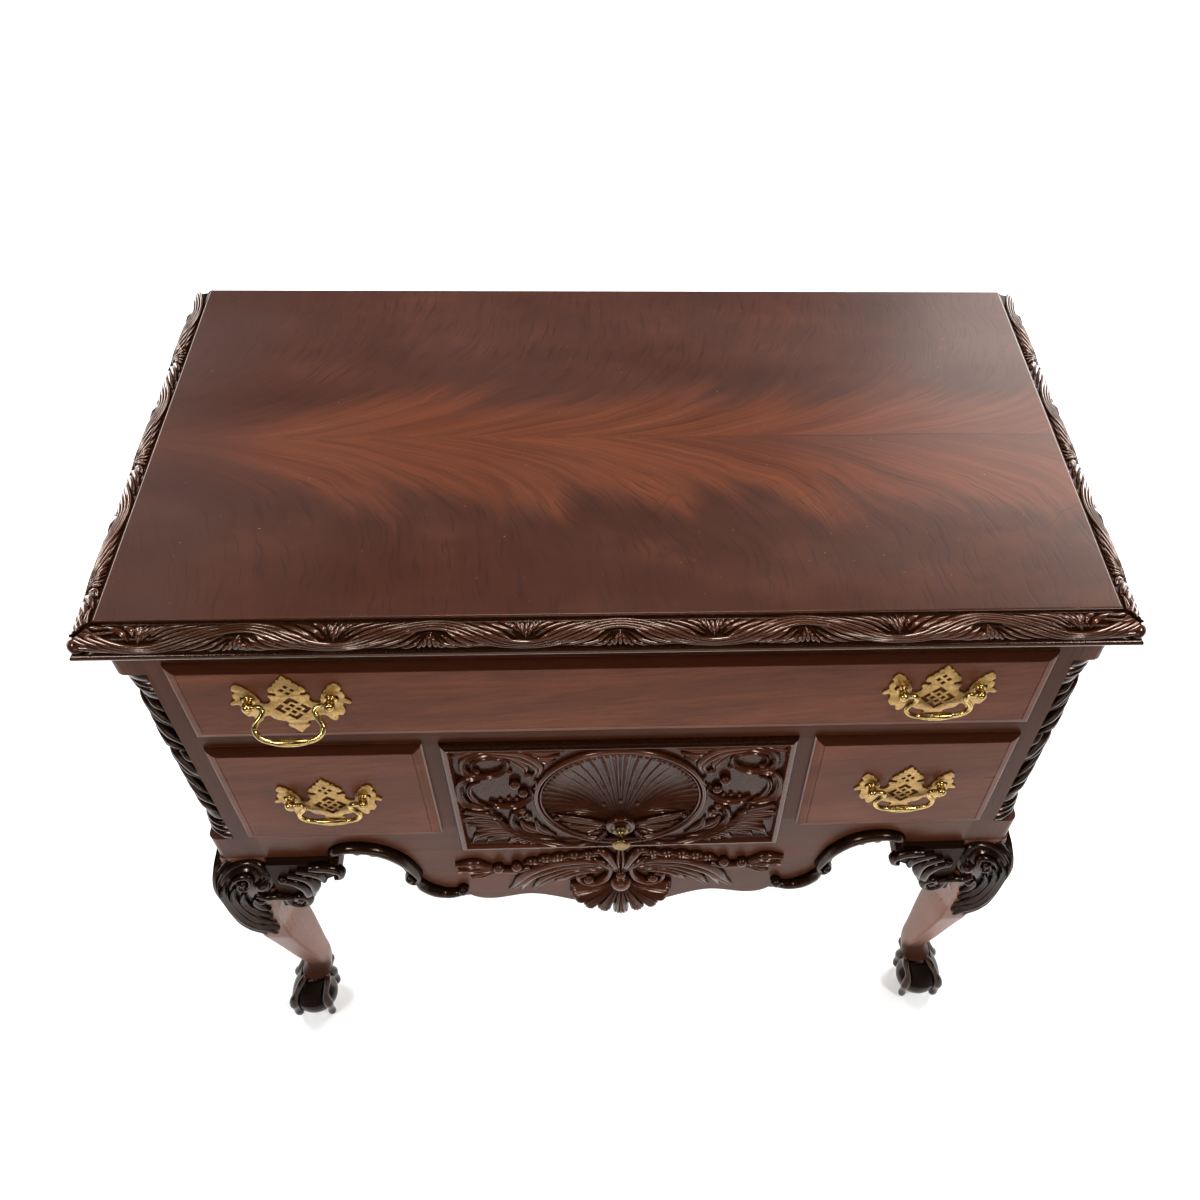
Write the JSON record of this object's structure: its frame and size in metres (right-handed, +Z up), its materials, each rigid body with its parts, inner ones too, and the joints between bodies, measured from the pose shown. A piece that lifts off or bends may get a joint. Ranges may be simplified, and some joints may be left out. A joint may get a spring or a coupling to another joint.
{
  "type": "lowboy",
  "caption": "Carved mahogany lowboy with a figured top, lipped drawers, a shell-carved middle drawer, pierced brass bail pulls and cabriole legs on claw-and-ball feet.",
  "frame": {"origin": "middle of the footprint's box, on the floor", "axes": "+X to the right along the front, +Y to the back, +Z up; the drawers face -Y"},
  "size_m": [0.8928, 0.5129, 0.803],
  "materials": {
    "mahogany_top": "satin polish, flame figure",
    "mahogany_case": "satin polish",
    "mahogany_carved": "glossy dark polish on carving",
    "secondary_wood": "unfinished",
    "brass": "polished, lightly aged"
  },
  "bodies": {
    "case": {"top_panel": "mahogany_top", "top_molding_front": "mahogany_carved", "top_molding_left": "mahogany_carved", "top_molding_right": "mahogany_carved", "side_panel_left": "mahogany_case", "side_panel_right": "mahogany_case", "back_panel": "secondary_wood", "top_rail": "mahogany_case", "drawer_rail": "mahogany_case", "divider_left": "mahogany_case", "divider_right": "mahogany_case", "apron": "mahogany_case", "leg_front_left": "mahogany_carved", "leg_front_right": "mahogany_carved", "leg_rear_left": "mahogany_carved", "leg_rear_right": "mahogany_carved", "quarter_column_left": "mahogany_carved", "quarter_column_right": "mahogany_carved", "knee_bracket_left": "mahogany_carved", "knee_bracket_right": "mahogany_carved", "side_brackets_left": "mahogany_carved", "side_brackets_right": "mahogany_carved", "apron_shell": "mahogany_carved", "apron_scroll_left": "mahogany_carved", "apron_scroll_right": "mahogany_carved", "upper_runners": "secondary_wood", "lower_runners": "secondary_wood", "lower_guides": "secondary_wood"},
    "long_drawer": {"long_drawer_front": "mahogany_case", "long_drawer_side_left": "secondary_wood", "long_drawer_side_right": "secondary_wood", "long_drawer_back": "secondary_wood", "long_drawer_bottom": "secondary_wood", "long_drawer_plates": "brass", "long_drawer_posts": "brass"},
    "left_drawer": {"left_drawer_front": "mahogany_case", "left_drawer_side_left": "secondary_wood", "left_drawer_side_right": "secondary_wood", "left_drawer_back": "secondary_wood", "left_drawer_bottom": "secondary_wood", "left_drawer_plate": "brass", "left_drawer_posts": "brass"},
    "center_drawer": {"center_drawer_front": "mahogany_carved", "center_drawer_side_left": "secondary_wood", "center_drawer_side_right": "secondary_wood", "center_drawer_back": "secondary_wood", "center_drawer_bottom": "secondary_wood", "center_drawer_knob": "brass"},
    "right_drawer": {"right_drawer_front": "mahogany_case", "right_drawer_side_left": "secondary_wood", "right_drawer_side_right": "secondary_wood", "right_drawer_back": "secondary_wood", "right_drawer_bottom": "secondary_wood", "right_drawer_plate": "brass", "right_drawer_posts": "brass"},
    "long_bail_left": {"long_drawer_bail_left": "brass"},
    "long_bail_right": {"long_drawer_bail_right": "brass"},
    "left_bail": {"left_drawer_bail": "brass"},
    "right_bail": {"right_drawer_bail": "brass"}
  },
  "joints": [
    {"name": "long_drawer_slide", "type": "slide", "parent": "case", "child": "long_drawer", "axis": [0, -1, 0], "range_m": [0, 0.3]},
    {"name": "left_drawer_slide", "type": "slide", "parent": "case", "child": "left_drawer", "axis": [0, -1, 0], "range_m": [0, 0.3]},
    {"name": "center_drawer_slide", "type": "slide", "parent": "case", "child": "center_drawer", "axis": [0, -1, 0], "range_m": [0, 0.3]},
    {"name": "right_drawer_slide", "type": "slide", "parent": "case", "child": "right_drawer", "axis": [0, -1, 0], "range_m": [0, 0.3]},
    {"name": "long_bail_left_hinge", "type": "hinge", "parent": "long_drawer", "child": "long_bail_left", "pos_m": [-0.287, -0.2263, 0.711], "axis": [-1, 0, 0], "range_deg": [-46, 74]},
    {"name": "long_bail_right_hinge", "type": "hinge", "parent": "long_drawer", "child": "long_bail_right", "pos_m": [0.287, -0.2263, 0.711], "axis": [-1, 0, 0], "range_deg": [0, 120]},
    {"name": "left_bail_hinge", "type": "hinge", "parent": "left_drawer", "child": "left_bail", "pos_m": [-0.287, -0.2263, 0.551], "axis": [-1, 0, 0], "range_deg": [0, 120]},
    {"name": "right_bail_hinge", "type": "hinge", "parent": "right_drawer", "child": "right_bail", "pos_m": [0.287, -0.2263, 0.551], "axis": [-1, 0, 0], "range_deg": [0, 120]}
  ]
}
